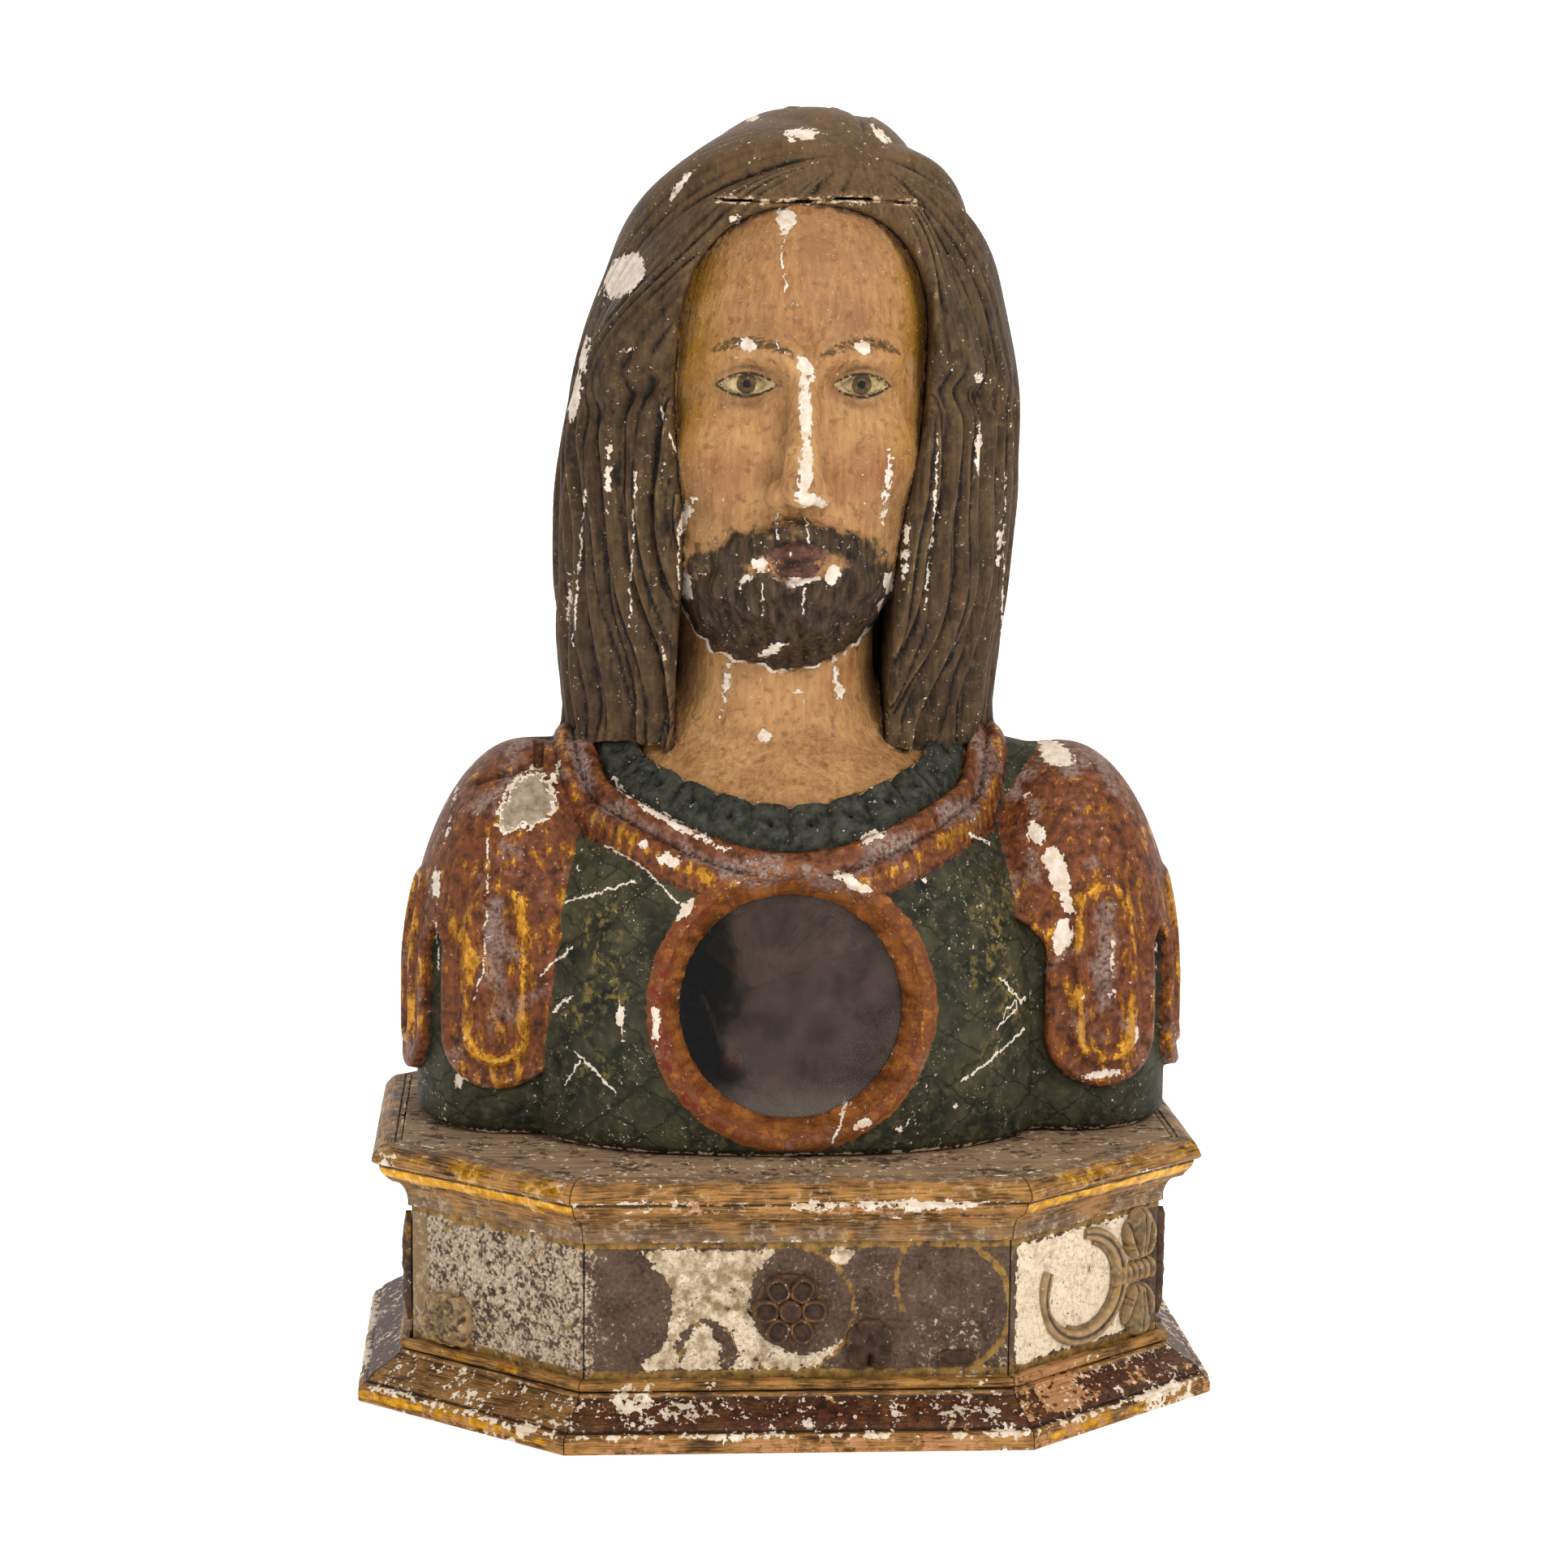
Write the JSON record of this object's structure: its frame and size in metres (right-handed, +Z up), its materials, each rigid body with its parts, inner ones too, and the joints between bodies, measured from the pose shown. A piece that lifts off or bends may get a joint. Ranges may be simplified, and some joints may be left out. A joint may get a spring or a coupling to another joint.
{
  "type": "reliquary bust",
  "caption": "Carved, painted and gilt wooden bust of a bearded, long-haired man with a round glazed relic window in the chest, on an octagonal moulded plinth with worn ornament.",
  "frame": {"origin": "centre of the plinth's underside, on the floor", "axes": "+Z up, the front of the bust and its window look along -Y, +X to the viewer's right"},
  "size_m": [0.4288, 0.337, 0.6393],
  "materials": {
    "polychrome_wood": "carved wood with gesso, paint and gilding, worn",
    "window_glass": "old glass, dusty",
    "plinth_board": "bare and dusty wood",
    "painted_panel": "worn paint over gesso",
    "gilt_moulding": "worn water gilding over bole",
    "ornament_wood": "carved, stained and partly gilt wood"
  },
  "bodies": {
    "root": {"bust": "polychrome_wood", "window_glass": "window_glass", "plinth_top": "plinth_board", "frieze_1": "painted_panel", "cornice_1": "gilt_moulding", "base_1": "gilt_moulding", "frieze_2": "painted_panel", "cornice_2": "gilt_moulding", "base_2": "gilt_moulding", "frieze_3": "painted_panel", "cornice_3": "gilt_moulding", "base_3": "gilt_moulding", "frieze_4": "painted_panel", "cornice_4": "gilt_moulding", "base_4": "gilt_moulding", "frieze_5": "painted_panel", "cornice_5": "gilt_moulding", "base_5": "gilt_moulding", "frieze_6": "painted_panel", "cornice_6": "gilt_moulding", "base_6": "gilt_moulding", "frieze_7": "painted_panel", "cornice_7": "gilt_moulding", "base_7": "gilt_moulding", "frieze_8": "painted_panel", "cornice_8": "gilt_moulding", "base_8": "gilt_moulding", "rosette": "ornament_wood", "leaf": "ornament_wood", "gilt_fragment": "ornament_wood", "scroll_ornament": "ornament_wood", "side_fragment": "ornament_wood", "left_fragment": "ornament_wood", "broken_lump": "ornament_wood"}
  },
  "joints": []
}
